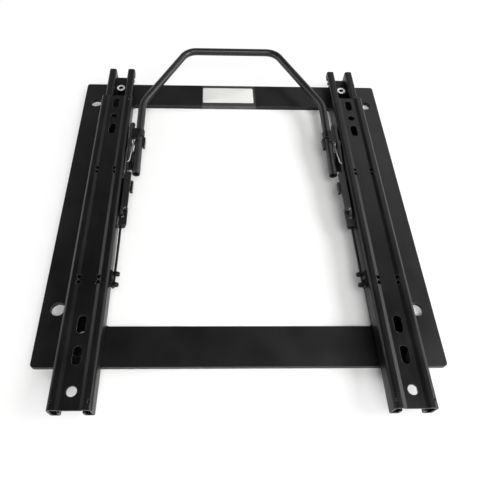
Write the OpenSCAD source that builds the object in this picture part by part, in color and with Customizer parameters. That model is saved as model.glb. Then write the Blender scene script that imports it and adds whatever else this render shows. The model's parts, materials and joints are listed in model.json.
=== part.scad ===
// Seat slide rails on a bolt-down base frame, with a lift handle that works both locks.
// Millimetres. X to the right, Y to the front of the seat, Z up.
// The origin is the centre of the four floor-bolt holes, on the underside of the base plate.

/* [Base plate] */
// Width of the plate ring, side to side
plate_w = 440; // [420:1:480]
// Length of the plate ring, front to rear
plate_l = 443; // [430:1:480]
// Thickness of the plate
plate_t = 6; // [4:0.5:10]
// Width of the two side bars
side_bar_w = 72; // [66:1:74]
// Width of the front and rear bars
cross_bar_w = 45.5; // [36:0.5:60]
// How far the plate's middle lies behind the middle of the floor bolts
plate_setback = 12.5; // [8:0.5:16]
// Radius of the plate's outer corners
plate_corner_r = 4; // [1:0.5:10]
// Radius of the window's corners
window_corner_r = 6; // [1:0.5:12]
// Side edges of the plate to the floor bolts
floor_bolt_inset = 18; // [17:0.5:21]
// Floor-bolt spacing, front to rear
floor_bolt_y = 336; // [300:1:360]
// Diameter of the floor-bolt holes
floor_bolt_d = 16; // [9:0.5:18]

/* [Rails] */
// Side edges of the plate to the middles of the rails
rail_inset = 53.5; // [52:0.5:56]
// How much longer each lower rail is than the plate
lower_over = 2; // [0:1:4]
// Length of each upper rail
upper_len = 439; // [420:1:460]
// How far the upper rail's middle lies behind the lower rail's middle
carriage_setback = 63.5; // [58:0.5:70]
// Sheet thickness of the lower rail
lower_t = 2; // [1.8:0.1:2.2]
// Sheet thickness of the upper rail
upper_t = 2.3; // [2:0.1:2.4]
// Inside radius of the folds
fold_r = 0.8; // [0.5:0.1:1]
// Inside radius of the upper rail's shoulder folds
shoulder_r = 2; // [1:0.1:2.4]
// Width of the channel between the lower rail's walls
channel_w = 17; // [16:0.25:17.5]
// Height of the lower rail
lower_h = 18.5; // [17.5:0.25:20]
// Width over the lower rail's lips
lip_span = 38.2; // [37.8:0.1:38.8]
// Depth to which the lips turn down
lip_drop = 10; // [9:0.25:10.5]
// Gap between a lip and the upper rail's wall
lip_gap = 0.5; // [0.4:0.05:0.8]
// Gap between a lip's lower edge and the upper rail's bottom fold
lip_float = 2.2; // [1.6:0.1:2.6]
// Depth to which the web lies below the shoulders
web_recess = 1.6; // [0.8:0.1:1.8]
// Width of the flat of the web
web_flat_w = 19.5; // [17:0.5:20]
// Width of each slope between web and shoulder
web_slope_w = 4; // [3:0.25:4.5]
// Height of the upper rail's inner turned-up lip
hook_h = 10; // [8:0.5:11]
// Gap between the turned-up lip and the lower rail's lip
hook_gap = 3.7; // [3.4:0.1:3.9]

/* [Lock] */
// Pitch of the rack notches
notch_pitch = 10; // [10:1:12]
// Width of a notch
notch_w = 6.4; // [6:0.1:7]
// Depth of a notch
notch_depth = 6.3; // [6:0.1:6.6]
// Number of comb fingers on each lever
comb_fingers = 6; // [4:1:6]
// Width of a comb finger
finger_w = 5; // [4:0.1:5.2]
// Gap below the rack at which the comb rests
comb_drop = 0.4; // [0.3:0.05:0.6]
// Front finger's place, in notch pitches before the origin
comb_start = 1; // [0:1:1]

/* [Seat slots] */
// Width of the seat slots
slot_w = 9; // [7:0.5:10]
// Overall length of the seat slots
slot_l = 20; // [14:0.5:24]
// Diameter of the round hole between the front slots
front_hole_d = 9.5; // [7:0.5:11]
// Diameter of the round hole near the rear end
rear_hole_d = 10.5; // [8:0.5:12]
// Front end of the rail to the first slot
front_slot_a = 15.5; // [14:0.5:20]
// Front end of the rail to the round hole
front_hole_at = 41; // [38:0.5:44]
// Front end of the rail to the second slot
front_slot_b = 65.5; // [62:0.5:72]
// Rear end of the rail to the round hole
rear_hole_at = 18; // [12:0.5:20]
// Rear end of the rail to the last slot
rear_slot_a = 53.5; // [48:0.5:60]
// Rear end of the rail to the slot before it
rear_slot_b = 87; // [82:0.5:96]
// Ends of the rail to the lanced ball stops
lance_at = 140; // [130:1:146]

/* [Balls] */
// Diameter of the balls
ball_d = 4; // [3:0.1:5]
// Gap above and below a ball
ball_gap = 0.1; // [0.05:0.05:0.2]
// Distance of the balls from the rail's middle
ball_x = 15; // [14.6:0.1:15.4]
// Balls in one cage
cage_balls = 4; // [3:1:4]
// Length of a cage
cage_l = 36; // [32:1:38]
// Width of a cage
cage_w = 6; // [5.6:0.1:6]
// Thickness of a cage
cage_t = 1; // [0.8:0.1:1.4]
// Front end of the upper rail to the middle of the front cages
front_cage_at = 43; // [40:1:46]
// Rear end of the lower rail to the middle of the rear cages
rear_cage_at = 40.5; // [39:0.5:42.5]

/* [Handle] */
// Outer diameter of the handle tube
tube_d = 10.6; // [9.5:0.1:11]
// Wall of the handle tube
tube_wall = 1.6; // [1.2:0.1:2]
// Distance of the arms from the rail's middle
tube_x = 37; // [36.5:0.5:37.5]
// Half width of the front bar, to its bend corners
bar_half_w = 67.7; // [55:0.1:80]
// Pivot to the corner of the lower bends
arm_reach = 74; // [66:1:84]
// Pivot to the front bar
bar_reach = 185.5; // [170:0.5:200]
// Pivot to the open rear ends
arm_tail = 52.5; // [48:0.5:58]
// Rise of the handle towards the front
tube_slope = 3.2; // [2.6:0.1:4]
// Bend radius at the front bar
bar_bend_r = 24; // [16:1:30]
// Bend radius where the arms turn in
arm_bend_r = 45; // [30:1:60]

/* [Levers] */
// Place of the pivot, front to rear
pivot_y = 70; // [68:0.5:72]
// Height of the pivot above the upper rail's lower edge
pivot_rise = 12.5; // [12:0.1:13]
// Diameter of the pivot pins
pivot_d = 6; // [5:0.1:6.4]
// Running clearance of the pins in their bushes, on the radius
pivot_play = 0.05; // [0.02:0.01:0.1]
// Length of the pins' flat heads
pin_head_l = 17; // [14:0.5:18]
// Height of the flat heads
pin_head_h = 5; // [4:0.5:6]
// Thickness of the flat heads
pin_head_t = 3; // [1.5:0.1:3.2]
// Sheet thickness of the levers
lever_t = 2.5; // [2:0.1:3]
// Gap between the rail's wall and the lever
lever_gap = 2.5; // [2:0.1:3]
// Height of the lever's web at the comb
lever_h = 15.4; // [14.5:0.1:16]
// Width of the flange along the lever's top
flange_w = 8; // [5:0.5:8]
// Length of the lever's tail behind the comb
tail_l = 20; // [16:0.5:22]
// Depth of the lever round the pivot
nose_d = 16; // [14:0.5:17]
// Pivot to the middle of the lever's round nose
nose_reach = 26; // [22:0.5:28]
// Length of the straps over the tube
strap_l = 11.5; // [8:0.5:14]
// Thickness of the straps
strap_t = 1.6; // [1.2:0.1:2]
// Place of the studs, front to rear
stud_y = -7; // [-10:0.5:-4]

/* [Springs] */
// Wire of the return springs
coil_wire_d = 1.2; // [1:0.1:1.4]
// Turns of the return springs
coil_turns = 1.5; // [0.5:1:1.5]
// Diameter of the straight spring wires
rod_d = 3; // [2:0.1:3]
// Height of the straight spring wires above the upper rail's lower edge
rod_rise = 9; // [8.5:0.1:9.5]
// Place of the front ear of the spring brackets
bracket_y = -130.5; // [-134:0.5:-126]
// Distance between the two ears of a spring bracket
ear_pitch = 13.5; // [12:0.5:16]

/* [Screws] */
// Thread diameter of the rail screws
screw_d = 8; // [6:0.5:8.5]
// Head diameter of the rail screws
screw_head_d = 13; // [10:0.5:14]
// Head height of the rail screws
screw_head_h = 8; // [4:0.5:8.5]
// Width of the hexagon socket
socket_w = 6; // [4:0.5:6.5]
// Front end of the lower rail to the front screws
front_screw_at = 32.5; // [28:0.5:36]
// Rear end of the lower rail to the rear screws
rear_screw_at = 18.5; // [16:0.5:22]

/* [Hidden] */
$fn = 48;

// Overshoot of the cutting bodies
cut = 1;
// Fine gap between pieces that are fixed to each other
seat_gap = 0.02;
// Facets in one fold of a sheet
fold_steps = 5;
// How far the tube's straight runs reach into its bends, and how much fuller the bends are
bend_lap = 0.4;
bend_gain = 0.05;

// Spacings from side to side
floor_bolt_x = plate_w - 2 * floor_bolt_inset;
rail_spacing = plate_w - 2 * rail_inset;

// Rail lengths and heights
lower_len = plate_l + lower_over;
lower_top = plate_t + lower_h;
lip_bottom = lower_top - lip_drop;
shoulder_z = lower_top + ball_d + 2 * ball_gap + upper_t;
web_z = shoulder_z - web_recess;
flange_top = lip_bottom - lip_float;
rail_bottom = flange_top - upper_t;
// Rail half widths
upper_half = lip_span / 2 + lip_gap + upper_t;
wall_in = upper_half - upper_t;
hook_out = lip_span / 2 - lower_t - hook_gap;
upper_mid_y = -carriage_setback;
upper_front = upper_mid_y + upper_len / 2;
upper_rear = upper_mid_y - upper_len / 2;

// Screws and balls
screw_stations = [lower_len / 2 - front_screw_at, rear_screw_at - lower_len / 2];
screw_play = 0.25;
cage_stations = [upper_front - front_cage_at, rear_cage_at - lower_len / 2];
ball_z = lower_top + ball_gap + ball_d / 2;
ball_pitch = cage_l / cage_balls;
pocket_gap = 0.15;

// Lever planes, measured inwards from the rail's middle
lever_x = upper_half + lever_gap;
lever_in = lever_x + lever_t;
arm_x = rail_spacing / 2 - tube_x;
tube_in = tube_x + tube_d / 2;
// Small gap between pieces that pass each other, and the lever's gap to the rail
side_gap = 0.3;
flange_out = upper_half + 0.8;

// Comb: how far its strip runs on past the end fingers, and where the fingers reach
comb_end = 2.5;
comb_top = lip_bottom - comb_drop;
comb_bottom = comb_top - lever_t;
comb_front = comb_start * notch_pitch + finger_w / 2 + comb_end;
comb_rear = (comb_start - comb_fingers + 1) * notch_pitch - finger_w / 2 - comb_end;
finger_tip = hook_out + hook_gap - side_gap;
finger_root = lip_span / 2 + 2 * side_gap;
window_margin = 4;
window_top = lip_bottom + notch_depth + 0.7;

// Straight spring wires, their ears and brackets
rod_z = rail_bottom + rod_rise;
rod_play = 0.3;
ear_t = 2.5;
ear_r = 4;
ear_reach = 1.7;
bracket_t = 2;
bracket_h = 11.5;
bracket_in = upper_half + bracket_t;
bracket_low = rod_z - ear_r;
rod_x = bracket_in + rod_d / 2 + side_gap / 2;
bracket_front = bracket_y + ear_t / 2;
bracket_rear = bracket_y - ear_pitch - ear_t / 2;
rivet_d = 3.5;
rivet_head_d = 5.6;
rivet_y = bracket_y - ear_pitch / 2;
rivet_z = rod_z + rod_d / 2 + rivet_head_d / 2 + side_gap;

// Lever: pivot, tail and the shelf under the tube
lever_top = comb_bottom + lever_h;
pivot_z = rail_bottom + pivot_rise;
bush_d = pivot_d + 3;
tail_root = comb_rear - 5;
tail_end = comb_rear - tail_l;
tail_top = rod_z + ear_r;
shelf_rear = 12 - arm_tail;
shelf_front = -10;
shelf_gap = 0.05;
shelf_drop = tube_d / 2 + shelf_gap;
stud_d = 6;
stud_z = (comb_top + lever_top - lever_t) / 2;

black = [0.11, 0.11, 0.12];
zinc = [0.82, 0.83, 0.84];
steel = [0.62, 0.63, 0.65];
nylon = [0.80, 0.78, 0.70];

// Outlines

function unit(v) = v / norm(v);
function left_of(d) = [-d[1], d[0]];
function turned(v, a) = [v[0] * cos(a) - v[1] * sin(a), v[0] * sin(a) + v[1] * cos(a)];
function side_of(a, b) = a[0] * b[1] - a[1] * b[0];
function turn_angle(a, b) = atan2(side_of(a, b), a * b);

// Stations along a folded line: each is a point and the direction to its left
function fold_at(p, q, r, radius) =
    let (d0 = unit(q - p), d1 = unit(r - q), turn = turn_angle(d0, d1), s = sign(turn),
         start = q - d0 * radius * tan(abs(turn) / 2), hub = start + left_of(d0) * radius * s)
    [for (i = [0:fold_steps])
        let (a = turn * i / fold_steps)
        [hub - turned(left_of(d0), a) * radius * s, turned(left_of(d0), a)]];
function folded(pts, radii) =
    let (last = len(pts) - 1)
    concat(
        [[pts[0], left_of(unit(pts[1] - pts[0]))]],
        [for (i = [1:last - 1]) each fold_at(pts[i - 1], pts[i], pts[i + 1], radii[i])],
        [[pts[last], left_of(unit(pts[last] - pts[last - 1]))]]);

// A half line and its mirror image, as one line from end to end
function both_halves(half) = concat(
    [for (i = [len(half) - 1:-1:0]) [-half[i][0], half[i][1]]], half);
function both_lists(half) = concat([for (i = [len(half) - 1:-1:0]) half[i]], half);

// Section of a sheet of thickness t: one half of its middle line, and the inside radius at each of its points
module folded_sheet(half, radii, t) {
    stations = folded(both_halves(half), [for (r = both_lists(radii)) r + t / 2]);
    count = len(stations) - 1;
    polygon(concat(
        [for (s = stations) s[0] + s[1] * t / 2],
        [for (i = [count:-1:0]) stations[i][0] - stations[i][1] * t / 2]));
}

// Extrudes an XZ section along Y, from y0 to y1
module along_y(y0, y1) {
    translate([0, y1, 0]) rotate([90, 0, 0]) linear_extrude(y1 - y0) children();
}

// Extrudes a YZ outline along X, from x0 to x1
module along_x(x0, x1) {
    translate([x0, 0, 0]) rotate([90, 0, 90]) linear_extrude(x1 - x0) children();
}

// A round bar along X, from x0 to x1
module bar_x(x0, x1, y, z, d) {
    translate([x0, y, z]) rotate([0, 90, 0]) cylinder(h = x1 - x0, d = d);
}

module rounded_plate(size, t, r) {
    linear_extrude(t) {
        square([size[0] - 2 * r, size[1]], center = true);
        square([size[0], size[1] - 2 * r], center = true);
        for (sx = [-1, 1], sy = [-1, 1])
            translate([sx * (size[0] / 2 - r), sy * (size[1] / 2 - r)]) circle(r);
    }
}

// A slot with round ends along Y, cut through from z0 to z1
module slot_y(l, w, z0, z1) {
    for (s = [-1, 1])
        translate([0, s * (l - w) / 2, z0]) cylinder(h = z1 - z0, d = w);
    translate([-w / 2, -(l - w) / 2, z0]) cube([w, l - w, z1 - z0]);
}

// Rail frames: local x points from the rail's middle to the middle of the seat
module left_rail() {
    translate([-rail_spacing / 2, 0, 0]) children();
}
module right_rail() {
    mirror([1, 0, 0]) left_rail() children();
}

// Base plate

module base_plate() {
    color(black) difference() {
        translate([0, -plate_setback, 0]) difference() {
            rounded_plate([plate_w, plate_l], plate_t, plate_corner_r);
            translate([0, 0, -cut])
                rounded_plate([plate_w - 2 * side_bar_w, plate_l - 2 * cross_bar_w],
                              plate_t + 2 * cut, window_corner_r);
        }
        for (sx = [-1, 1], sy = [-1, 1])
            translate([sx * floor_bolt_x / 2, sy * floor_bolt_y / 2, -cut])
                cylinder(h = plate_t + 2 * cut, d = floor_bolt_d);
        for (sx = [-1, 1], y = screw_stations)
            translate([sx * rail_spacing / 2, y, -cut])
                cylinder(h = plate_t + 2 * cut, d = screw_d + 2 * seat_gap);
    }
}

// Lower rails

module lower_section() {
    wall = channel_w / 2 + lower_t / 2;
    lip = lip_span / 2 - lower_t / 2;
    top = lower_top - lower_t / 2;
    folded_sheet([[wall, plate_t + lower_t / 2], [wall, top], [lip, top], [lip, lip_bottom]],
                 [fold_r, fold_r, fold_r, 0], lower_t);
}

module lower_rail() {
    notches = floor((lower_len / 2 - notch_w) / notch_pitch);
    color(black) difference() {
        along_y(-lower_len / 2, lower_len / 2) lower_section();
        for (i = [-notches:notches])
            translate([lip_span / 2 - lower_t - cut / 2, i * notch_pitch - notch_w / 2, lip_bottom - cut])
                cube([lower_t + cut, notch_w, notch_depth + cut]);
        for (y = screw_stations)
            translate([0, y, plate_t - cut]) cylinder(h = lower_t + 2 * cut, d = screw_d + 2 * screw_play);
    }
}

// Zinc socket cap screws through the lower rail, threaded into the plate

module cap_screw() {
    head_z = plate_t + lower_t;
    difference() {
        union() {
            cylinder(h = head_z + seat_gap, d = screw_d);
            translate([0, 0, head_z]) cylinder(h = screw_head_h, d = screw_head_d);
        }
        translate([0, 0, head_z + screw_head_h / 2])
            cylinder(h = screw_head_h, d = socket_w / cos(30), $fn = 6);
    }
}

module rail_bolts() {
    color(zinc) for (y = screw_stations) translate([0, y, 0]) cap_screw();
}

// Upper rails

module upper_section() {
    web_edge = web_flat_w / 2;
    mid = upper_t / 2;
    folded_sheet([[web_edge, web_z - mid], [web_edge + web_slope_w, shoulder_z - mid],
                  [upper_half - mid, shoulder_z - mid], [upper_half - mid, rail_bottom + mid],
                  [hook_out - mid, rail_bottom + mid], [hook_out - mid, rail_bottom + hook_h]],
                 [fold_r, fold_r, shoulder_r, fold_r, fold_r, 0], upper_t);
}

// Bow-tie cut of a lanced ball stop, on the slope beside the web
module lance_cut() {
    lance_w = 5.6;
    lance_l = 11;
    waist = 2.2;
    bridge = 1.2;
    depth = 3 * upper_t;
    translate([0, 0, shoulder_z - depth + cut]) linear_extrude(depth)
        for (s = [-1, 1])
            polygon([[-waist / 2, s * bridge / 2], [waist / 2, s * bridge / 2],
                     [lance_w / 2, s * lance_l / 2], [-lance_w / 2, s * lance_l / 2]]);
}

module upper_rail() {
    dimple_d = 3;
    dimple_depth = 0.7;
    dimple_end = 8;
    dimple_x = (web_flat_w / 2 + web_slope_w + upper_half) / 2 + 0.5;
    floor_cut = web_z - upper_t - cut;
    color(black) difference() {
        along_y(upper_rear, upper_front) upper_section();
        for (y = [upper_front - front_slot_a, upper_front - front_slot_b,
                  upper_rear + rear_slot_a, upper_rear + rear_slot_b])
            translate([0, y, 0]) slot_y(slot_l, slot_w, floor_cut, web_z + cut);
        translate([0, upper_front - front_hole_at, floor_cut])
            cylinder(h = upper_t + 2 * cut, d = front_hole_d);
        translate([0, upper_rear + rear_hole_at, floor_cut])
            cylinder(h = upper_t + 2 * cut, d = rear_hole_d);
        for (sx = [-1, 1], y = [upper_front - lance_at, upper_rear + lance_at])
            translate([sx * (web_flat_w / 2 + web_slope_w / 4), y, 0]) lance_cut();
        for (sx = [-1, 1], y = [upper_front - dimple_end, upper_rear + dimple_end])
            translate([sx * dimple_x, y, shoulder_z - dimple_depth])
                cylinder(h = dimple_depth + cut, d = dimple_d);
        // Window for the comb, through the inner wall and its bottom fold
        translate([hook_out - upper_t - cut, comb_rear - window_margin, rail_bottom - cut])
            cube([upper_half + 2 * cut - hook_out + upper_t, comb_front - comb_rear + 2 * window_margin,
                  window_top - rail_bottom + cut]);
        bar_x(wall_in - cut, upper_half + cut, pivot_y, pivot_z, pivot_d + 2 * seat_gap);
        bar_x(wall_in - cut, upper_half + cut, rivet_y, rivet_z, rivet_d + 2 * seat_gap);
    }
}

// Balls and their cages, between the lips and the shoulders

module ball_cages() {
    color(nylon) for (sx = [-1, 1], y = cage_stations) difference() {
        translate([sx * ball_x - cage_w / 2, y - cage_l / 2, ball_z - cage_t / 2])
            cube([cage_w, cage_l, cage_t]);
        for (i = [0:cage_balls - 1])
            translate([sx * ball_x, y - cage_l / 2 + (i + 0.5) * ball_pitch, ball_z - cage_t])
                cylinder(h = 2 * cage_t, d = ball_d + 2 * pocket_gap);
    }
}

module slide_balls() {
    color(steel) for (sx = [-1, 1], y = cage_stations, i = [0:cage_balls - 1])
        translate([sx * ball_x, y - cage_l / 2 + (i + 0.5) * ball_pitch, ball_z]) sphere(d = ball_d);
}

// Handle: a bent tube in a plane that rises to the front, turning on the pivots

module handle_plane() {
    translate([0, pivot_y, pivot_z]) rotate([tube_slope, 0, 0]) children();
}

// Section of the handle tube, its wall fuller by gain on each face
module tube_ring(gain) {
    difference() {
        circle(d = tube_d + 2 * gain);
        circle(d = tube_d - 2 * tube_wall - 2 * gain);
    }
}

// A straight run of tube from p to q in the handle's plane
module run(p, q) {
    v = q - p;
    translate([p[0], p[1], 0]) rotate([0, 0, atan2(v[1], v[0])]) rotate([0, 90, 0])
        linear_extrude(norm(v)) tube_ring(0);
}

// A bend of the tube at corner q, coming from p and going on to r
module bend(p, q, r, radius) {
    d0 = unit(q - p);
    turn = turn_angle(d0, unit(r - q));
    start = q - d0 * radius * tan(abs(turn) / 2);
    hub = start + left_of(d0) * radius * sign(turn);
    out = start - hub;
    translate([hub[0], hub[1], 0]) rotate([0, 0, atan2(out[1], out[0]) + min(turn, 0)])
        rotate_extrude(angle = abs(turn)) translate([radius, 0]) tube_ring(bend_gain);
}

function trim(p, q, back) = p + unit(q - p) * back;

// The runs reach a short way into the bends
module handle_tube() {
    corners = [[-arm_x, -arm_tail], [-arm_x, arm_reach], [-bar_half_w, bar_reach],
               [bar_half_w, bar_reach], [arm_x, arm_reach], [arm_x, -arm_tail]];
    radii = [0, arm_bend_r, bar_bend_r, bar_bend_r, arm_bend_r, 0];
    last = len(corners) - 1;
    function heading(i) = unit(corners[i + 1] - corners[i]);
    function setback(i) = radii[i] == 0 ? 0 :
        radii[i] * tan(abs(turn_angle(heading(i - 1), heading(i))) / 2) - bend_lap;
    for (i = [0:last - 1])
        run(trim(corners[i], corners[i + 1], setback(i)), trim(corners[i + 1], corners[i], setback(i + 1)));
    for (i = [1:last - 1])
        bend(corners[i - 1], corners[i], corners[i + 1], radii[i]);
}

module release_handle() {
    bore_play = 0.5;
    color(black) difference() {
        handle_plane() handle_tube();
        for (s = [-1, 1])
            bar_x(s * arm_x - tube_d, s * arm_x + tube_d, pivot_y, pivot_z, pivot_d + 2 * bore_play);
    }
}

// Latch levers: a folded sheet with the comb below and a flange above

module lever_side() {
    // Steps from the comb up to the neck
    step_up = 3;
    step_top = 1;
    nose_y = pivot_y + nose_reach;
    nose_r = nose_d / 2;
    polygon([
        [comb_rear, comb_bottom], [comb_front, comb_bottom], [comb_front + step_up, comb_bottom + step_up],
        [pivot_y - nose_d, pivot_z - nose_r], [nose_y, pivot_z - nose_r],
        [nose_y, pivot_z + nose_r], [pivot_y - nose_d, pivot_z + nose_r],
        [comb_front + 2 * step_up, lever_top - step_top], [comb_front, lever_top], [comb_rear, lever_top],
        [tail_root, tail_top], [tail_root, rod_z - ear_r]]);
    translate([nose_y, pivot_z]) circle(nose_r);
}

// An ear for the spring wire, round at its free end; the wire's hole lies at distance w
module spring_ear(w) {
    translate([0, 0, rod_z - ear_r]) cube([w + ear_reach, ear_t, 2 * ear_r]);
    translate([w + ear_reach, ear_t, rod_z]) rotate([90, 0, 0]) cylinder(h = ear_t, r = ear_r);
}

module latch_lever() {
    shelf_reach = tube_x + 3;
    tail_lap = 5;
    nose_tab_r = 3.3;
    nose_tab_l = 9.5;
    nose_tab_x = lever_x + nose_tab_r - 1;
    color(black) difference() {
        union() {
            along_x(lever_x, lever_in) lever_side();
            // Flange along the top, the lower one of the tail and the round tab at the nose
            translate([lever_x, comb_rear, lever_top - lever_t])
                cube([flange_w, comb_front - comb_rear, lever_t]);
            translate([flange_out, tail_end, tail_top - lever_t])
                cube([lever_x + flange_w - flange_out, tail_l + tail_lap, lever_t]);
            translate([nose_tab_x, pivot_y + nose_reach + nose_d / 2 - nose_tab_r, pivot_z + lever_t]) {
                translate([-nose_tab_r, -nose_tab_l, 0]) cube([2 * nose_tab_r, nose_tab_l, lever_t]);
                cylinder(h = lever_t, r = nose_tab_r);
            }
            // Strip and fingers of the comb
            translate([finger_root, comb_rear, comb_bottom])
                cube([lever_in - finger_root, comb_front - comb_rear, lever_t]);
            for (i = [0:comb_fingers - 1])
                translate([finger_tip, (comb_start - i) * notch_pitch - finger_w / 2, comb_bottom])
                    cube([lever_in - finger_tip, finger_w, lever_t]);
            // Shelf under the tube, in the handle's plane
            handle_plane() translate([lever_x, shelf_rear, -shelf_drop - lever_t]) {
                cube([shelf_reach - lever_x, shelf_front - shelf_rear, lever_t]);
                cube([lever_t, shelf_front - shelf_rear, shelf_drop]);
            }
            // Ear for the spring wire, below the tail
            translate([flange_out, tail_end, 0]) spring_ear(rod_x - flange_out);
        }
        bar_x(lever_x - cut, lever_in + cut, pivot_y, pivot_z, bush_d + 2 * seat_gap);
        bar_x(lever_x - cut, lever_in + cut, stud_y, stud_z, stud_d + 2 * seat_gap);
        translate([rod_x, tail_end + ear_t + cut, rod_z]) rotate([90, 0, 0])
            cylinder(h = ear_t + 2 * cut, d = rod_d + 2 * rod_play);
    }
}

// Straps: a leg on the lever, a flat over the tube and a round down its inner side; the flat starts nearer the pin

module tube_strap() {
    inner_r = tube_d / 2 + seat_gap;
    outer_r = inner_r + strap_t;
    leg_bottom = -3;
    lead = 8;
    start = pin_head_l / 2 + 0.5;
    color(black) handle_plane() {
        along_y(start - lead, start + strap_l)
            translate([lever_in, inner_r]) square([tube_x - lever_in, strap_t]);
        along_y(start, start + strap_l) {
            translate([lever_in, leg_bottom]) square([strap_t, outer_r - leg_bottom]);
            translate([tube_x, 0]) difference() {
                circle(outer_r);
                circle(inner_r);
                translate([-2 * outer_r, -2 * outer_r]) square([2 * outer_r, 4 * outer_r]);
                translate([-cut, -2 * outer_r]) square([2 * outer_r, 2 * outer_r]);
            }
        }
    }
}

// A flat head across a pin, from x0 on
module flat_head(x0, y, z) {
    translate([x0, y - pin_head_l / 2, z - pin_head_h / 2]) cube([pin_head_t, pin_head_l, pin_head_h]);
}

// Pivot pins, riveted flush in the rail's wall, with a flat head beside the tube

module pivot_pin() {
    head_x = tube_in + side_gap;
    color(black) {
        bar_x(wall_in, head_x + seat_gap, pivot_y, pivot_z, pivot_d);
        flat_head(head_x, pivot_y, pivot_z);
    }
}

module pivot_bush() {
    flange_d = bush_d + 4;
    color(black) difference() {
        union() {
            bar_x(lever_x - cut, lever_in, pivot_y, pivot_z, bush_d);
            bar_x(upper_half + side_gap, lever_x - seat_gap, pivot_y, pivot_z, flange_d);
        }
        bar_x(upper_half - cut, lever_in + cut, pivot_y, pivot_z, pivot_d + 2 * pivot_play);
    }
}

// Studs on the levers, with a flat head beyond the flange

module lever_stud() {
    neck_x = lever_x + flange_w + side_gap;
    color(black) {
        bar_x(lever_x, neck_x + seat_gap, stud_y, stud_z, stud_d);
        flat_head(neck_x, stud_y, lever_top - pin_head_h / 2 - 1.5);
    }
}

// Springs

// Ring of points round a station of a wire
function ring(at, along, r, sides) =
    let (ref = abs(along[2]) > 0.9 ? [1, 0, 0] : [0, 0, 1], u = unit(cross(along, ref)), v = cross(u, along))
    [for (i = [0:sides - 1]) at + r * (cos(360 * i / sides) * u + sin(360 * i / sides) * v)];

module wire(path, d, sides = 10) {
    last = len(path) - 1;
    tangents = [for (i = [0:last]) unit(path[min(i + 1, last)] - path[max(i - 1, 0)])];
    points = [for (i = [0:last]) each ring(path[i], tangents[i], d / 2, sides)];
    sides_of = [for (i = [0:last - 1], j = [0:sides - 1])
        let (k = (j + 1) % sides)
        [i * sides + j, i * sides + k, (i + 1) * sides + k, (i + 1) * sides + j]];
    first_cap = [for (j = [sides - 1:-1:0]) j];
    last_cap = [for (j = [0:sides - 1]) last * sides + j];
    polyhedron(points, concat(sides_of, [first_cap, last_cap]));
}

module return_spring() {
    wire_r = coil_wire_d / 2;
    coil_r = pivot_d / 2 + side_gap + wire_r;
    coil_x0 = lever_in + 2 * side_gap + wire_r;
    coil_x1 = tube_x - tube_d / 2 - side_gap - wire_r;
    steps = 20 * coil_turns;
    leg_l = arm_tail - 15.5;
    leg_y = pivot_y - leg_l;
    shelf_z = pivot_z - shelf_drop / cos(tube_slope) - leg_l * tan(tube_slope);
    // The upper leg runs out to a hook over the lever, the lower one lies on the shelf
    leg_low = [coil_x1 + wire_r, leg_y, shelf_z + wire_r + side_gap];
    leg_top = [coil_x0, leg_y, lever_top + coil_wire_d];
    hook_end = leg_top + [-3.5 * wire_r - side_gap, -2, 0];
    // From the lower leg, round the pin and out to the upper leg
    turns = [for (i = [0:steps])
        let (k = i / steps, a = 270 - 360 * coil_turns * k)
        [coil_x0 + (coil_x1 - coil_x0) * k, pivot_y + coil_r * cos(a), pivot_z + coil_r * sin(a)]];
    color(zinc) wire(concat([leg_low], turns, [leg_top, hook_end]), coil_wire_d);
}

module latch_spring() {
    front_over = 4;
    rear_over = 2;
    hook_h = 6;
    front = tail_end + ear_t + front_over;
    rear = bracket_rear - ear_t / 2 - rear_over;
    color(black) {
        translate([rod_x, front, rod_z]) rotate([90, 0, 0]) cylinder(h = front - rear, d = rod_d);
        translate([rod_x, rear, rod_z]) sphere(d = rod_d);
        translate([rod_x, rear, rod_z]) cylinder(h = hook_h, d = rod_d);
    }
}

module spring_bracket() {
    color(black) difference() {
        union() {
            translate([upper_half, bracket_rear, bracket_low])
                cube([bracket_t, bracket_front - bracket_rear, bracket_h]);
            for (y = [bracket_front - ear_t, bracket_rear])
                translate([upper_half, y, 0]) spring_ear(rod_x - upper_half);
        }
        translate([rod_x, bracket_front + cut, rod_z]) rotate([90, 0, 0])
            cylinder(h = bracket_front - bracket_rear + 2 * cut, d = rod_d + 2 * seat_gap);
        bar_x(upper_half - cut, bracket_in + cut, rivet_y, rivet_z, rivet_d + 2 * seat_gap);
    }
}

module bracket_rivets() {
    head_h = 1.6;
    color(black) {
        bar_x(wall_in, bracket_in + seat_gap, rivet_y, rivet_z, rivet_d);
        bar_x(bracket_in, bracket_in + head_h, rivet_y, rivet_z, rivet_head_d);
    }
}

base_plate();
left_rail() lower_rail();  // lower_rail_left
right_rail() lower_rail();  // lower_rail_right
left_rail() rail_bolts();  // rail_bolts_left
right_rail() rail_bolts();  // rail_bolts_right
left_rail() upper_rail();  // upper_rail_left
right_rail() upper_rail();  // upper_rail_right
left_rail() ball_cages();  // ball_cages_left
right_rail() ball_cages();  // ball_cages_right
left_rail() slide_balls();  // slide_balls_left
right_rail() slide_balls();  // slide_balls_right
release_handle();
left_rail() latch_lever();  // latch_lever_left
right_rail() latch_lever();  // latch_lever_right
left_rail() tube_strap();  // tube_strap_left
right_rail() tube_strap();  // tube_strap_right
left_rail() pivot_pin();  // pivot_pin_left
right_rail() pivot_pin();  // pivot_pin_right
left_rail() pivot_bush();  // pivot_bush_left
right_rail() pivot_bush();  // pivot_bush_right
left_rail() lever_stud();  // lever_stud_left
right_rail() lever_stud();  // lever_stud_right
left_rail() return_spring();  // return_spring_left
right_rail() return_spring();  // return_spring_right
left_rail() latch_spring();  // latch_spring_left
right_rail() latch_spring();  // latch_spring_right
left_rail() spring_bracket();  // spring_bracket_left
right_rail() spring_bracket();  // spring_bracket_right
left_rail() bracket_rivets();  // bracket_rivets_left
right_rail() bracket_rivets();  // bracket_rivets_right
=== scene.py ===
"""Looks of the seat slide rail: paint, plating, springs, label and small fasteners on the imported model."""

import json
import math

import bpy
from mathutils import Matrix, Vector


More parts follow.
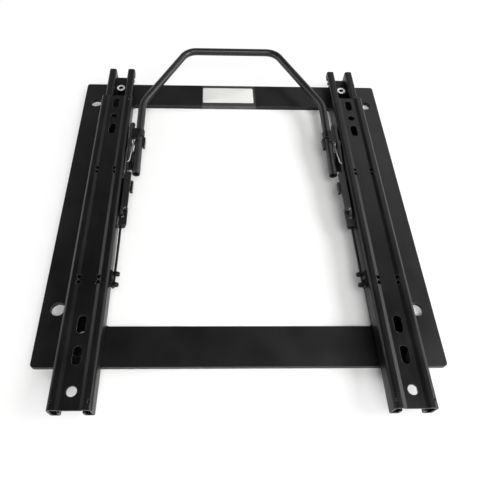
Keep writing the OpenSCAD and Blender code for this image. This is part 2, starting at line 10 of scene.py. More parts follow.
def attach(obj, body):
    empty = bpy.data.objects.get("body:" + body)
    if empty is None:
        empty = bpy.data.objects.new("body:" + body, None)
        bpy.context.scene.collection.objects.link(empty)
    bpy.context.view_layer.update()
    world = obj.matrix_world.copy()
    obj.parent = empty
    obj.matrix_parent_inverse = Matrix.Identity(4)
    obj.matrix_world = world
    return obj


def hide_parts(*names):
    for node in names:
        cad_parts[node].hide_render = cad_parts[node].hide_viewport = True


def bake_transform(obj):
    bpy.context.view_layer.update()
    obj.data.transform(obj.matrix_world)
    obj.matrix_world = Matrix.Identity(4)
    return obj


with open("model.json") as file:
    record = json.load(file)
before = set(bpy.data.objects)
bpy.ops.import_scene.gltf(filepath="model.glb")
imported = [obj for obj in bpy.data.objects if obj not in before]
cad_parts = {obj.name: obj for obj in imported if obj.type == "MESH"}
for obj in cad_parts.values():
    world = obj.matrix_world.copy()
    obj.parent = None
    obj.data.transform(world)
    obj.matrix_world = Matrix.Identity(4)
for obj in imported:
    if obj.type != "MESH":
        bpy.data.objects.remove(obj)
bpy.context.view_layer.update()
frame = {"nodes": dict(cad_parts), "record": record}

MM = 0.001
UP = (0, 0, 1)
SIDES = {"left": -1, "right": 1}

# Sizes of the part, in millimetres; beside a rail, x runs from its middle towards the middle of the seat.
# PIVOT and SHELF are y and z, ROD is x and z, FRONT_BAR and ROD_ENDS are y
RAIL_X = 166.5
PLATE_TOP = 6.0
FRONT_BAR = (163.5, 209.0)
SCREWS_Y = (190.0, -204.0)
SCREW_TOP = 16.0
PIVOT = (70.0, 22.5)
LEVER_IN = 26.9
LEVER_TOP = 27.0
TAIL_TOP = 23.0
LEVER_RIVETS = ((28.2, -42.0, LEVER_TOP), (26.0, -52.5, TAIL_TOP))
TUBE_SIDE = 31.7
SHELF = (33.0, 15.07)
ROD = (25.55, 19.0)
ROD_D = 3.0
ROD_ENDS = (-58.5, -148.5)
ROD_HOOK = 6.0


def at(side, x, y, z):
    """A point beside one rail, in metres."""
    s = SIDES[side]
    return Vector((s * (RAIL_X - x), y, z)) * MM


def linear(colour):
    """Linear RGBA of an sRGB hex colour."""
    parts = [int(colour[i:i + 2], 16) / 255 for i in (1, 3, 5)]
    return [c / 12.92 if c <= 0.04045 else ((c + 0.055) / 1.055) ** 2.4 for c in parts] + [1.0]


def per(size_mm):
    """Texture scale at which a pattern has this size."""
    return 1 / (size_mm * MM)


def add(tree, kind, inputs=None, **settings):
    """Adds a node with its settings, and sets or links its inputs."""
    made = tree.nodes.new(kind)
    for name, value in settings.items():
        setattr(made, name, value)
    for name, value in (inputs or {}).items():
        if isinstance(value, bpy.types.NodeSocket):
            tree.links.new(value, made.inputs[name])
        else:
            made.inputs[name].default_value = value
    return made


# Materials

# Sockets of a colour Mix node, and the bands in which most values of one noise and of two multiplied lie
MIX_A, MIX_B, MIXED = 6, 7, 2
NOISE_BAND = {"From Min": 0.3, "From Max": 0.7}
TWO_NOISES_BAND = {"From Min": 0.12, "From Max": 0.38}


def new_material(name):
    """A material with an empty tree; gives it, its tree and the Object coordinates for its patterns."""
    made = bpy.data.materials.new(name)
    made.use_nodes = True
    tree = made.node_tree
    tree.nodes.clear()
    return made, tree, add(tree, "ShaderNodeTexCoord").outputs["Object"]


def painted_steel(name, colour, roughness, ior, peel_mm, streak_mm, dust, wear_and_highlight):
    """Sheet steel under baked black paint: an even soft sheen with a faint orange peel,
    long rubbed streaks along the rail, a little dust, and cut edges made pale, partly as worn paint and
    partly as a painted highlight."""
    cloud_mm, dust_apart_mm, dust_core_mm, dust_rim_mm = 45, 25, 0.2, 0.4
    along_rail = (1.0, 0.03, 1.0)
    # Edges are this wide, and begin and are full at these cosines of the turn
    edge_mm, edge_begins, edge_full, pale_stretch_mm = 0.6, 0.985, 0.85, 9
    made, tree, place = new_material(name)
    # Orange peel is about 1 mm across; drawn a little coarser, so that it shows
    peel = add(tree, "ShaderNodeTexNoise", {"Vector": place, "Scale": per(peel_mm), "Detail": 2.0})
    drawn_out = add(tree, "ShaderNodeMapping", {"Vector": place, "Scale": along_rail})
    streak = add(tree, "ShaderNodeTexNoise", {
        "Vector": drawn_out.outputs[0], "Scale": per(streak_mm), "Detail": 4.0, "Roughness": 0.6})
    cloud = add(tree, "ShaderNodeTexNoise", {"Vector": place, "Scale": per(cloud_mm), "Detail": 3.0})
    both = add(tree, "ShaderNodeMath", {0: streak.outputs["Fac"], 1: cloud.outputs["Fac"]},
               operation="MULTIPLY")
    sheen = add(tree, "ShaderNodeMapRange", {
        **TWO_NOISES_BAND, "Value": both.outputs[0],
        "To Min": roughness - 0.06, "To Max": roughness + 0.08})
    shade = add(tree, "ShaderNodeMapRange", {
        **NOISE_BAND, "Value": cloud.outputs["Fac"], "To Min": 0.85, "To Max": 1.2})
    tinted = add(tree, "ShaderNodeMix", {"Factor": 1.0, MIX_A: linear(colour), MIX_B: shade.outputs[0]},
                 data_type="RGBA", blend_type="MULTIPLY")
    # Dust: grains about half a millimetre across, some 25 mm apart
    grains = add(tree, "ShaderNodeTexVoronoi", {
        "Vector": place, "Scale": per(dust_apart_mm), "Randomness": 1.0})
    grain = add(tree, "ShaderNodeMapRange", {
        "Value": grains.outputs["Distance"], "From Min": dust_core_mm / dust_apart_mm,
        "From Max": dust_rim_mm / dust_apart_mm, "To Min": dust, "To Max": 0.0})
    dusty = add(tree, "ShaderNodeMix", {
        "Factor": grain.outputs[0], MIX_A: tinted.outputs[MIXED], MIX_B: linear("#8a8a86")},
        data_type="RGBA")
    # An edge is where the rounded normal leaves the true one; it is made pale in stretches about 9 mm long,
    # partly worn paint and partly a painted highlight along the edge
    edge = add(tree, "ShaderNodeBevel", {"Radius": edge_mm * MM}, samples=6)
    true_normal = add(tree, "ShaderNodeNewGeometry").outputs["Normal"]
    turned = add(tree, "ShaderNodeVectorMath", {0: edge.outputs[0], 1: true_normal},
                 operation="DOT_PRODUCT")
    pale_edge = add(tree, "ShaderNodeMapRange", {
        "Value": turned.outputs["Value"], "From Min": edge_begins, "From Max": edge_full,
        "To Min": 0.0, "To Max": wear_and_highlight})
    stretch = add(tree, "ShaderNodeTexNoise", {"Vector": place, "Scale": per(pale_stretch_mm), "Detail": 4.0})
    pale_edge_in_stretches = add(tree, "ShaderNodeMath", {0: pale_edge.outputs[0], 1: stretch.outputs["Fac"]},
               operation="MULTIPLY")
    # The pale edge colour is partly bare steel and partly a painted highlight
    worn_and_highlit = add(tree, "ShaderNodeMix", {
        "Factor": pale_edge_in_stretches.outputs[0], MIX_A: dusty.outputs[MIXED], MIX_B: linear("#9a9a98")},
        data_type="RGBA")
    bump = add(tree, "ShaderNodeBump", {
        "Height": peel.outputs["Fac"], "Strength": 0.25, "Distance": 0.05 * MM, "Normal": edge.outputs[0]})
    paint = add(tree, "ShaderNodeBsdfPrincipled", {
        "Base Color": worn_and_highlit.outputs[MIXED], "Roughness": sheen.outputs[0], "IOR": ior,
        "Normal": bump.outputs[0]})
    add(tree, "ShaderNodeOutputMaterial", {"Surface": paint.outputs[0]})
    return made


def plated_steel(name, colour, roughness, grain_mm, metallic):
    """Zinc plate or polished steel: metal with a fine cloudy grain.
    Dull zinc is partly a whitish film, so it is less of a mirror."""
    made, tree, place = new_material(name)
    grain = add(tree, "ShaderNodeTexNoise", {"Vector": place, "Scale": per(grain_mm), "Detail": 4.0})
    dull = add(tree, "ShaderNodeMapRange", {
        **NOISE_BAND, "Value": grain.outputs["Fac"], "To Min": roughness - 0.07, "To Max": roughness + 0.1})
    shade = add(tree, "ShaderNodeMapRange", {
        **NOISE_BAND, "Value": grain.outputs["Fac"], "To Min": 0.88, "To Max": 1.05})
    tone = add(tree, "ShaderNodeMix", {"Factor": 1.0, MIX_A: linear(colour), MIX_B: shade.outputs[0]},
               data_type="RGBA", blend_type="MULTIPLY")
    bump = add(tree, "ShaderNodeBump", {
        "Height": grain.outputs["Fac"], "Strength": 0.15, "Distance": 0.02 * MM})
    metal = add(tree, "ShaderNodeBsdfPrincipled", {
        "Base Color": tone.outputs[MIXED], "Metallic": metallic, "Roughness": dull.outputs[0],
        "Normal": bump.outputs[0]})
    add(tree, "ShaderNodeOutputMaterial", {"Surface": metal.outputs[0]})
    return made


def zinc_screw(name):
    """Zinc screw: the top of its head is white zinc; its sides and its socket are painted dark as shade."""
    grain_mm, shade_below_mm, top_within_mm, uneven_mm = 1.2, 0.5, 0.1, 0.4
    made, tree, place = new_material(name)
    height = add(tree, "ShaderNodeSeparateXYZ", {0: place})
    grain = add(tree, "ShaderNodeTexNoise", {"Vector": place, "Scale": per(grain_mm), "Detail": 4.0})
    ragged_height = add(tree, "ShaderNodeMath", {
        0: grain.outputs["Fac"], 1: uneven_mm * MM, 2: height.outputs["Z"]}, operation="MULTIPLY_ADD")
    # film is painted shade: dark on the head's sides and in its socket, white zinc only on the top of the
    # head
    film = add(tree, "ShaderNodeMapRange", {
        "Value": ragged_height.outputs[0], "From Min": (SCREW_TOP - shade_below_mm) * MM,
        "From Max": (SCREW_TOP - top_within_mm) * MM, "To Min": 0.0, "To Max": 1.0})
    # 161617 is painted shade on the sides and in the socket, #eeeeec the zinc of the top
    tone = add(tree, "ShaderNodeMix", {
        "Factor": film.outputs[0], MIX_A: linear("#161617"), MIX_B: linear("#eeeeec")},
        data_type="RGBA")
    bump = add(tree, "ShaderNodeBump", {
        "Height": grain.outputs["Fac"], "Strength": 0.15, "Distance": 0.02 * MM})
    zinc = add(tree, "ShaderNodeBsdfPrincipled", {
        "Base Color": tone.outputs[MIXED], "Metallic": 0.3, "Roughness": 0.45, "Normal": bump.outputs[0]})
    add(tree, "ShaderNodeOutputMaterial", {"Surface": zinc.outputs[0]})
    return made


def natural_nylon(name):
    """Moulded nylon in its own colour: waxy, slightly see-through, with a fine spark-eroded grain."""
    grain_mm = 0.6
    made, tree, place = new_material(name)
    grain = add(tree, "ShaderNodeTexNoise", {"Vector": place, "Scale": per(grain_mm), "Detail": 3.0})
    tone = add(tree, "ShaderNodeMix", {
        "Factor": grain.outputs["Fac"], MIX_A: linear("#d2ccb6"), MIX_B: linear("#c2bba2")},
        data_type="RGBA")
    bump = add(tree, "ShaderNodeBump", {
        "Height": grain.outputs["Fac"], "Strength": 0.2, "Distance": 0.03 * MM})
    nylon = add(tree, "ShaderNodeBsdfPrincipled", {
        "Base Color": tone.outputs[MIXED], "Roughness": 0.48, "IOR": 1.53, "Subsurface Weight": 0.15,
        "Subsurface Radius": (0.002, 0.0018, 0.0014), "Normal": bump.outputs[0]})
    add(tree, "ShaderNodeOutputMaterial", {"Surface": nylon.outputs[0]})
    return made


def label_vinyl(name):
    """Blank white vinyl label: smooth and slightly glossy, faintly uneven where it lies on the paint."""
    wave_mm, fibre_mm = 14, 0.8
    made, tree, place = new_material(name)
    waves = add(tree, "ShaderNodeTexNoise", {"Vector": place, "Scale": per(wave_mm), "Detail": 2.0})
    fibre = add(tree, "ShaderNodeTexNoise", {"Vector": place, "Scale": per(fibre_mm), "Detail": 3.0})
    tone = add(tree, "ShaderNodeMix", {
        "Factor": fibre.outputs["Fac"], MIX_A: linear("#e2e2de"), MIX_B: linear("#d7d7d1")},
        data_type="RGBA")
    bump = add(tree, "ShaderNodeBump", {
        "Height": waves.outputs["Fac"], "Strength": 0.3, "Distance": 0.1 * MM})
    vinyl = add(tree, "ShaderNodeBsdfPrincipled", {
        "Base Color": tone.outputs[MIXED], "Roughness": 0.35, "IOR": 1.5, "Normal": bump.outputs[0]})
    add(tree, "ShaderNodeOutputMaterial", {"Surface": vinyl.outputs[0]})
    return made


def clear_tape(name):
    """Clear polyester tape drawn tight over black paint: glossier than the paint,
    with a milky cast and fine wrinkles across the bar."""
    wrinkle_mm, across_bar = 6, (1.0, 0.12, 1.0)
    made, tree, place = new_material(name)
    across = add(tree, "ShaderNodeMapping", {"Vector": place, "Scale": across_bar})
    wrinkle = add(tree, "ShaderNodeTexNoise", {
        "Vector": across.outputs[0], "Scale": per(wrinkle_mm), "Detail": 3.0})
    tone = add(tree, "ShaderNodeMix", {
        "Factor": wrinkle.outputs["Fac"], MIX_A: linear("#333335"), MIX_B: linear("#4a4a4c")},
        data_type="RGBA")
    bump = add(tree, "ShaderNodeBump", {
        "Height": wrinkle.outputs["Fac"], "Strength": 0.3, "Distance": 0.15 * MM})
    film = add(tree, "ShaderNodeBsdfPrincipled", {
        "Base Color": tone.outputs[MIXED], "Roughness": 0.16, "IOR": 1.57, "Normal": bump.outputs[0]})
    add(tree, "ShaderNodeOutputMaterial", {"Surface": film.outputs[0]})
    return made


FINISH = {
    "black_plate": painted_steel("powder_coated_plate", "#0e0e0f", roughness=0.41, ior=1.41,
                                 peel_mm=1.6, streak_mm=60.0, dust=0.5, wear_and_highlight=0.5),
    "black_rail": painted_steel("painted_rail_steel", "#0f0f10", roughness=0.34, ior=1.33,
                                peel_mm=1.4, streak_mm=2.5, dust=0.4, wear_and_highlight=0.55),
    "black_tube": painted_steel("painted_tube_steel", "#1a1a1b", roughness=0.34, ior=1.48,
                                peel_mm=1.4, streak_mm=2.0, dust=0.3, wear_and_highlight=0.3),
    "black_hardware": painted_steel("blackened_hardware_steel", "#0d0d0e", roughness=0.38, ior=1.36,
                                    peel_mm=1.0, streak_mm=2.0, dust=0.2, wear_and_highlight=0.6),
    "zinc": plated_steel("dull_zinc_plate", "#d9dadb", roughness=0.42, grain_mm=0.9, metallic=0.8),
    "bearing_steel": plated_steel("polished_bearing_steel", "#b9bcc0", roughness=0.16, grain_mm=1.2,
                                  metallic=1.0),
    "cage_nylon": natural_nylon("natural_nylon"),
}
# Nodes whose finish differs from that of their slot: paler levers, and brackets with darker paint and little
# pale edge (worn paint and painted highlight)
OWN_FINISH = {
    "latch_lever": painted_steel("painted_lever_steel", "#161617", roughness=0.42, ior=1.44,
                                 peel_mm=1.0, streak_mm=2.0, dust=0.2, wear_and_highlight=0.5),
    "spring_bracket": painted_steel("black_oxide_bracket_steel", "#070708", roughness=0.45, ior=1.3,
                                    peel_mm=1.0, streak_mm=2.0, dust=0.1, wear_and_highlight=0.1),
}
# Screw finish with painted shade on the head's sides and in its socket
SCREW_ZINC_PAINTED_SHADE = zinc_screw("zinc_screw_with_painted_shade")
RIVET_ZINC = plated_steel("oiled_zinc_rivet", "#58595b", roughness=0.24, grain_mm=0.6, metallic=1.0)
VINYL = label_vinyl("white_label_vinyl")
TAPE = clear_tape("clear_label_tape")

# Geometry trees


def new_tree(name, inputs):
    """A geometry tree with named inputs; gives the tree and its input node."""
    tree = bpy.data.node_groups.new(name, "GeometryNodeTree")
    tree.interface.new_socket("Geometry", in_out="INPUT", socket_type="NodeSocketGeometry")
    for label, kind in inputs.items():
        tree.interface.new_socket(label, in_out="INPUT", socket_type="NodeSocket" + kind)
    tree.interface.new_socket("Geometry", in_out="OUTPUT", socket_type="NodeSocketGeometry")
    return tree, add(tree, "NodeGroupInput")


def end_tree(tree, geometry, finish):
    """Ends a tree with real geometry in one finish."""
    realized = add(tree, "GeometryNodeRealizeInstances", {0: geometry})
    finished = add(tree, "GeometryNodeSetMaterial", {"Geometry": realized.outputs[0], "Material": finish})
    add(tree, "NodeGroupOutput", {0: finished.outputs[0]})


def fold_tree():
    """Smooth shading, with sharp edges where the faces turn by more than an angle."""
    tree, given = new_tree("smooth_folds", {"Sharp angle": "Float"})
    smooth = add(tree, "GeometryNodeSetShadeSmooth", {"Geometry": given.outputs["Geometry"]}, domain="FACE")
    angle = add(tree, "GeometryNodeInputMeshEdgeAngle")
    sharp = add(tree, "FunctionNodeCompare", {0: angle.outputs[0], 1: given.outputs["Sharp angle"]},
                data_type="FLOAT", operation="GREATER_THAN")
    creased = add(tree, "GeometryNodeSetShadeSmooth", {
        "Geometry": smooth.outputs[0], "Selection": sharp.outputs[0], "Shade Smooth": False}, domain="EDGE")
    add(tree, "NodeGroupOutput", {0: creased.outputs[0]})
    return tree


def wire_tree():
    """Round wire along a line of points."""
    tree, given = new_tree("round_wire", {"Wire diameter": "Float", "Sides": "Int", "Finish": "Material"})
    line = add(tree, "GeometryNodeMeshToCurve", {0: given.outputs["Geometry"]})
    radius = add(tree, "ShaderNodeMath", {0: given.outputs["Wire diameter"], 1: 0.5}, operation="MULTIPLY")
    section = add(tree, "GeometryNodeCurvePrimitiveCircle", {
        "Resolution": given.outputs["Sides"], "Radius": radius.outputs[0]})
    wire = add(tree, "GeometryNodeCurveToMesh", {
        "Curve": line.outputs[0], "Profile Curve": section.outputs[0], "Fill Caps": True})
    smooth = add(tree, "GeometryNodeSetShadeSmooth", {"Geometry": wire.outputs[0]})
    end_tree(tree, smooth.outputs[0], given.outputs["Finish"])
    return tree


def repeat_tree():
    """One small part set on every point, its own Z turned to an axis."""
    tree, given = new_tree("parts_on_points", {"Part": "Object", "Axis": "Vector", "Finish": "Material"})
    part = add(tree, "GeometryNodeObjectInfo", {"Object": given.outputs["Part"]})
    turn = add(tree, "FunctionNodeAlignRotationToVector", {"Vector": given.outputs["Axis"]}, axis="Z")
    parts = add(tree, "GeometryNodeInstanceOnPoints", {
        "Points": given.outputs["Geometry"], "Instance": part.outputs["Geometry"],
        "Rotation": turn.outputs[0]})
    end_tree(tree, parts.outputs[0], given.outputs["Finish"])
    return tree


FOLDS = fold_tree()
WIRE = wire_tree()
REPEAT = repeat_tree()


def run_tree(piece, tree, inputs):
    """Adds a tree to a piece as a modifier, and sets its named inputs by their identifiers."""
    modifier = piece.modifiers.new(tree.name, "NODES")
    modifier.node_group = tree
    for item in tree.interface.items_tree:
        if item.in_out == "INPUT" and item.name in inputs:
            modifier[item.identifier] = inputs[item.name]


# Carried-over nodes: joined triangles, folds shaded smooth, finish by slot

JOIN_MM = 0.002
FOLD_ANGLE = math.radians(32)
FLAT_FACE_WEIGHT = 80


def dress(node, finish):
    """Gives a CAD node its finish and smooth folds; its own mesh stays as it is."""
    node.material_slots[0].material = finish
    node.modifiers.new("join_triangles", "WELD").merge_threshold = JOIN_MM * MM
    run_tree(node, FOLDS, {"Sharp angle": FOLD_ANGLE})
    weighted = node.modifiers.new("flat_faces", "WEIGHTED_NORMAL")
    weighted.keep_sharp = True
    weighted.weight = FLAT_FACE_WEIGHT


for row in frame["record"]["subparts"]:
    kind = row["node"].rsplit("_", 1)[0]
    dress(frame["nodes"][row["node"]], OWN_FINISH.get(kind, FINISH[row["material_slot"]]))

# Screws, springs, latch wires and rivets


def new_object(name, verts, edges=(), faces=()):
    mesh = bpy.data.meshes.new(name)
    mesh.from_pydata([tuple(v) for v in verts], edges, faces)
    made = bpy.data.objects.new(name, mesh)
    bpy.context.scene.collection.objects.link(made)
    return made


def grown(name, points, tree, inputs, chain=False):
    """Plain mesh that a tree grows on points, or along the line through them."""
    edges = [(i, i + 1) for i in range(len(points) - 1)] if chain else ()
    seed = new_object(name + "_points", points, edges)
    run_tree(seed, tree, inputs)
    layers = bpy.context.evaluated_depsgraph_get()
    mesh = bpy.data.meshes.new_from_object(seed.evaluated_get(layers), depsgraph=layers)
    mesh.name = name
    bpy.data.objects.remove(seed)
    made = bpy.data.objects.new(name, mesh)
    bpy.context.scene.collection.objects.link(made)
    return made


def lofted(name, rings):
    """Closed shell through rings of points; a ring of one point is a pole."""
    verts, faces, starts = [], [], []
    for ring in rings:
        starts.append(len(verts))
        verts += ring
    for a, b, ring, following in zip(starts, starts[1:], rings, rings[1:]):
        count = max(len(ring), len(following))
        for i in range(count):
            k = (i + 1) % count
            corners = [a + i % len(ring), a + k % len(ring),
                       b + k % len(following), b + i % len(following)]
            faces.append(list(dict.fromkeys(corners)))
    return new_object(name, verts, (), faces)


def pole(z):
    """Ring of one point on the axis."""
    return [Vector((0, 0, z)) * MM]


def circle(r, z, count, ripple=0.0):
    """Ring of points; every second point lies lower by the ripple."""
    ring = []
    for i in range(count):
        a, out = 2 * math.pi * i / count, r - ripple * (i % 2)
        ring.append(Vector((math.cos(a) * out, math.sin(a) * out, z)) * MM)
    return ring


def hexagon(width, z, count):
    """Ring of as many points as a circle has, on a hexagon of this width over its flats."""
    ring = []
    for i in range(count):
        a = 2 * math.pi * i / count
        off = (a + math.pi / 6) % (math.pi / 3) - math.pi / 6
        r = width / 2 / math.cos(off)
        ring.append(Vector((math.cos(a) * r, math.sin(a) * r, z)) * MM)
    return ring


def socket_screw():
    """M8 socket cap screw from its end at the plate's underside, with a knurled and chamfered head."""
    n, knurl, rail_t = 72, 0.22, 2.0
    tip_r, tip_h, shank_r, head_r, rim_r = 3.3, 0.7, 4.0, 6.5, 5.7
    mouth_r, mouth_h, socket_w, socket_h, drill_h = 3.75, 0.35, 6.0, 4.0, 4.8
    under, top = PLATE_TOP + rail_t, SCREW_TOP
    return lofted("socket_screw", [
        pole(0), circle(tip_r, 0, n), circle(shank_r, tip_h, n), circle(shank_r, under, n),
        circle(head_r - 0.2, under, n), circle(head_r, under + 0.3, n),
        circle(head_r, under + 0.5, n, knurl), circle(head_r, top - 0.9, n, knurl),
        circle(head_r - 0.1, top - 0.7, n), circle(rim_r, top, n), circle(mouth_r, top, n),
        hexagon(socket_w, top - mouth_h, n), hexagon(socket_w, top - socket_h, n), pole(top - drill_h)])


def rivet_head():
    """Domed rivet head, its back at the surface it closes on."""
    n = 28
    dome = ((2.6, 0), (2.75, 0.25), (2.6, 0.7), (2.1, 1.15), (1.2, 1.45))
    return lofted("rivet_head", [pole(0), *(circle(r, z, n) for r, z in dome), pole(1.55)])


def ease(piece, corner_deg=40):
    """Shades a piece smooth, apart from its real corners."""
    piece.data.shade_smooth()
    piece.data.set_sharp_from_angle(angle=math.radians(corner_deg))
    return piece


def rail_screws():
    """The four screws that hold the lower rails to the plate."""
    template = socket_screw()
    places = [(s * RAIL_X * MM, y * MM, 0) for s in SIDES.values() for y in SCREWS_Y]
    screws = ease(grown("rail_screws", places, REPEAT,
                        {"Part": template, "Axis": UP, "Finish": SCREW_ZINC_PAINTED_SHADE}), 28)
    bpy.data.objects.remove(template)
    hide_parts("rail_bolts_left", "rail_bolts_right")
    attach(screws, "base")


def return_spring(side):
    """Torsion spring round the pivot pin: one leg lies on the shelf under the tube,
    the other hooks over the lever."""
    wire, inner_r, turns, steps = 1.2, 3.3, 1.5, 48
    lever_gap, tube_gap, shelf_gap = 0.6, 0.3, 0.3
    hook_x, hook_y = 2.4, 2.0
    x0, x1, r = LEVER_IN + lever_gap + wire / 2, TUBE_SIDE - tube_gap - wire / 2, inner_r + wire / 2
    path = [(x1 + wire / 2, SHELF[0], SHELF[1] + shelf_gap + wire / 2)]
    for i in range(steps + 1):
        k = i / steps
        a = math.radians(270 - 360 * turns * k)
        path.append((x0 + (x1 - x0) * k, PIVOT[0] + r * math.cos(a), PIVOT[1] + r * math.sin(a)))
    path += [(x0, SHELF[0], LEVER_TOP + wire), (x0 - hook_x, SHELF[0] - hook_y, LEVER_TOP + wire)]
    made = grown(f"return_spring_wire_{side}", [at(side, *p) for p in path], WIRE,
                 {"Wire diameter": wire * MM, "Sides": 12, "Finish": FINISH["zinc"]}, chain=True)
    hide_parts(f"return_spring_{side}")
    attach(made, "handle")


def latch_wire(side):
    """Straight spring wire from its bracket to the lever's tail, turned up at its rear end."""
    bend_r, bend_steps, line_steps = 2.4, 8, 40
    front, rear = ROD_ENDS
    bend = [(rear + bend_r * (1 - math.sin(a)), ROD[1] + bend_r * (1 - math.cos(a)))
            for a in (math.pi / 2 * i / bend_steps for i in range(bend_steps + 1))]
    line = [(front + (rear + bend_r - front) * i / line_steps, ROD[1]) for i in range(line_steps)]
    path = [at(side, ROD[0], y, z) for y, z in line + bend + [(rear, ROD[1] + ROD_HOOK)]]
    made = grown(f"latch_wire_{side}", path, WIRE,
                 {"Wire diameter": ROD_D * MM, "Sides": 16, "Finish": FINISH["black_hardware"]}, chain=True)
    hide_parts(f"latch_spring_{side}")
    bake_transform(made)


def lever_rivets(side):
    """Two domed rivets that close the flange on the lever's tail."""
    template = rivet_head()
    made = ease(grown(f"lever_rivets_{side}", [at(side, *place) for place in LEVER_RIVETS], REPEAT,
                      {"Part": template, "Axis": UP, "Finish": RIVET_ZINC}))
    bpy.data.objects.remove(template)
    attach(made, "handle")


rail_screws()
for side in SIDES:
    return_spring(side)
    latch_wire(side)
    lever_rivets(side)

# Label and tape: the tape is drawn as a glossy dark film, so the label lies on it and stays white

LABEL_X, LABEL_Y = (-43.5, 32.7), (170.5, 203.0)
LABEL_CORNER, LABEL_LIFT, LABEL_T, LABEL_SIDE, LABEL_EDGE = 2.0, 0.12, 0.2, 0.14, 0.15
TAPE_X = (-44.6, 35.6)
TAPE_GAP, TAPE_T, TAPE_FOOT, TAPE_BEND = 0.03, 0.07, 0.6, 0.5


def label():
    """Blank label with rounded corners, on the front bar."""
    (x0, x1), (y0, y1), r = LABEL_X, LABEL_Y, LABEL_CORNER
    base, top, corner_steps = PLATE_TOP + LABEL_LIFT, PLATE_TOP + LABEL_LIFT + LABEL_T, 6
    corners = ((x1 - r, y0 + r, -90), (x1 - r, y1 - r, 0), (x0 + r, y1 - r, 90), (x0 + r, y0 + r, 180))
    outline = []
    for cx, cy, start in corners:
        for i in range(corner_steps + 1):
            a = math.radians(start + 90 / corner_steps * i)
            outline.append((cx + r * math.cos(a), cy + r * math.sin(a)))
    mid_x, mid_y = (x0 + x1) / 2, (y0 + y1) / 2

    def ring(inset, z):
        return [Vector((x + math.copysign(inset, mid_x - x), y + math.copysign(inset, mid_y - y), z)) * MM
                for x, y in outline]

    def middle(z):
        return [Vector((mid_x, mid_y, z)) * MM]

    made = lofted("blank_label", [middle(base), ring(0, base), ring(0, base + LABEL_SIDE),
                                  ring(LABEL_EDGE, top), middle(top)])
    made.data.materials.append(VINYL)
    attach(ease(made, 30), "base")


def tape_band():
    """Clear tape round the front bar: over its top and down both edges."""
    y0, y1, top = FRONT_BAR[0] - TAPE_GAP, FRONT_BAR[1] + TAPE_GAP, PLATE_TOP + TAPE_GAP
    bend_steps, r = 5, TAPE_BEND
    turns = [math.pi / 2 * i / bend_steps for i in range(bend_steps + 1)]

    def section(out):
        """Points from the rear edge's foot over the top to the front edge's foot."""
        over = [(y0 - out, TAPE_FOOT)]
        over += [(y0 + r - (r + out) * math.cos(a), top - r + (r + out) * math.sin(a)) for a in turns]
        over += [(y1 - r + (r + out) * math.sin(a), top - r + (r + out) * math.cos(a)) for a in turns]
        return over + [(y1 + out, TAPE_FOOT)]

    loop = section(TAPE_T) + section(0)[::-1]
    n = len(loop)
    verts = [Vector((x, y, z)) * MM for x in TAPE_X for y, z in loop]
    faces = [[i, (i + 1) % n, n + (i + 1) % n, n + i] for i in range(n)]
    for i in range(n // 2 - 1):
        cap = [i, i + 1, n - 2 - i, n - 1 - i]
        faces += [cap[::-1], [n + k for k in cap]]
    made = new_object("clear_tape_band", verts, (), [f[::-1] for f in faces])
    made.data.materials.append(TAPE)
    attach(ease(made, 40), "base")


label()
tape_band()

# Stage: pale floor, soft light, the photograph's camera

# The floor keeps the shadow in full this far, in millimetres, from a middle shifted towards the camera
SHADOW_HALF, SHADOW_SHIFT, SHADOW_FADE = 205.0, 35.0, 6.0
FLOOR_HALF, FLOOR_Z = 6.0, -0.0002
# The glow of the walls falls to that of the ceiling at this sine of the height over the horizon
GLOW_TOP, WALL_GLOW, CEILING_GLOW = 0.76, 1.0, 0.02
# Name, place and aim in metres, width in metres, watts
LAMPS = (
    ("key_right", (1.85, -0.25, 1.25), (0, 0, 0), 1.3, 44),
    ("top_rear", (0.35, -1.2, 2.3), (0, 0, 0), 1.8, 36),
    ("low_left", (-2.0, -0.9, 0.7), (0, -0.1, 0), 1.2, 10),
    ("right_front", (1.9, 0.9, 0.7), (0, 0, 0), 1.1, 8),
    ("left_front", (-1.9, 0.9, 0.7), (0, 0, 0), 1.1, 8),
    ("high_front", (1.0, 1.6, 1.7), (0, 0, 0), 1.0, 4),
)
# Camera, solved from the plate's edges: place in millimetres, yaw, drop and roll in degrees
CAMERA_PLACE = (-36.4, -395.7, 500.1)
CAMERA_TURN = (3.15, 57.02, 2.87)
LENS_MM, SENSOR_MM, SHIFT_X = 36.0, 36.0, 0.0385


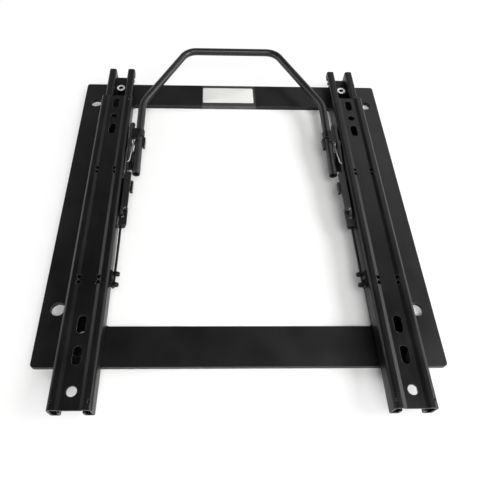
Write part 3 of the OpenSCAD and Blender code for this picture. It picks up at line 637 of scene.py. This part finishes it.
def floor():
    """Matt white floor: it keeps the shadow at the frame, and pales towards plain white away from it."""
    made, tree, place = new_material("matt_white_floor")
    nearer = add(tree, "ShaderNodeMapping", {"Vector": place, "Location": (0.0, SHADOW_SHIFT * MM, 0.0)})
    spread = add(tree, "ShaderNodeVectorMath", {0: nearer.outputs[0]}, operation="ABSOLUTE")
    sides = add(tree, "ShaderNodeSeparateXYZ", {0: spread.outputs[0]})
    out = add(tree, "ShaderNodeMath", {0: sides.outputs["X"], 1: sides.outputs["Y"]}, operation="MAXIMUM")
    near = add(tree, "ShaderNodeMath", {0: SHADOW_HALF * MM, 1: out.outputs[0]},
               operation="DIVIDE", use_clamp=True)
    kept = add(tree, "ShaderNodeMath", {0: near.outputs[0], 1: SHADOW_FADE}, operation="POWER")
    pale = add(tree, "ShaderNodeMath", {0: 1.0, 1: kept.outputs[0]}, operation="SUBTRACT")
    path = add(tree, "ShaderNodeLightPath")
    seen = add(tree, "ShaderNodeMath", {0: path.outputs["Is Camera Ray"], 1: path.outputs["Is Glossy Ray"]},
               operation="ADD", use_clamp=True)
    direct = add(tree, "ShaderNodeMath", {0: seen.outputs[0], 1: path.outputs["Is Transmission Ray"]},
                 operation="ADD", use_clamp=True)
    share = add(tree, "ShaderNodeMath", {0: pale.outputs[0], 1: direct.outputs[0]}, operation="MULTIPLY")
    lit = add(tree, "ShaderNodeBsdfDiffuse", {"Color": linear("#fbfbfa")})
    white = add(tree, "ShaderNodeEmission", {"Color": linear("#ffffff"), "Strength": 1.0})
    mixed = add(tree, "ShaderNodeMixShader", {0: share.outputs[0], 1: lit.outputs[0], 2: white.outputs[0]})
    add(tree, "ShaderNodeOutputMaterial", {"Surface": mixed.outputs[0]})
    corners = [(x * FLOOR_HALF, y * FLOOR_HALF, FLOOR_Z) for x, y in ((-1, -1), (1, -1), (1, 1), (-1, 1))]
    plane = new_object("floor", corners, (), [(0, 1, 2, 3)])
    plane.data.materials.append(made)


def softbox(name, place, aim, size, watts):
    lamp = bpy.data.lights.new(name, "AREA")
    lamp.shape, lamp.size, lamp.energy = "DISK", size, watts
    made = bpy.data.objects.new(name, lamp)
    made.location = place
    made.rotation_euler = (Vector(aim) - Vector(place)).to_track_quat("-Z", "Y").to_euler()
    bpy.context.scene.collection.objects.link(made)


def studio():
    """World that is bright round the horizon, as pale walls are, and dark overhead; and the lamps."""
    world = bpy.data.worlds.new("studio")
    world.use_nodes = True
    tree = world.node_tree
    tree.nodes.clear()
    way = add(tree, "ShaderNodeSeparateXYZ", {0: add(tree, "ShaderNodeTexCoord").outputs["Generated"]})
    glow = add(tree, "ShaderNodeMapRange", {
        "Value": way.outputs["Z"], "From Min": 0.0, "From Max": GLOW_TOP,
        "To Min": WALL_GLOW, "To Max": CEILING_GLOW})
    sky = add(tree, "ShaderNodeBackground", {"Color": linear("#ffffff"), "Strength": glow.outputs[0]})
    add(tree, "ShaderNodeOutputWorld", {"Surface": sky.outputs[0]})
    bpy.context.scene.world = world
    for lamp in LAMPS:
        softbox(*lamp)


def camera():
    """Camera at the photograph's place."""
    yaw, drop, roll = (math.radians(a) for a in CAMERA_TURN)
    look = Vector((math.sin(yaw) * math.cos(drop), math.cos(yaw) * math.cos(drop), -math.sin(drop)))
    level = Vector((math.cos(yaw), -math.sin(yaw), 0))
    rise = level.cross(look)
    right = level * math.cos(roll) + rise * math.sin(roll)
    up = rise * math.cos(roll) - level * math.sin(roll)
    lens = bpy.data.cameras.new("camera")
    lens.lens, lens.sensor_width, lens.shift_x = LENS_MM, SENSOR_MM, SHIFT_X
    lens.clip_start, lens.clip_end = 0.01, 50
    made = bpy.data.objects.new("camera", lens)
    turn = Matrix((right, up, -look)).transposed().to_4x4()
    made.matrix_world = Matrix.Translation(Vector(CAMERA_PLACE) * MM) @ turn
    bpy.context.scene.collection.objects.link(made)
    bpy.context.scene.camera = made


floor()
studio()
camera()
bpy.context.scene.view_settings.view_transform = "Standard"
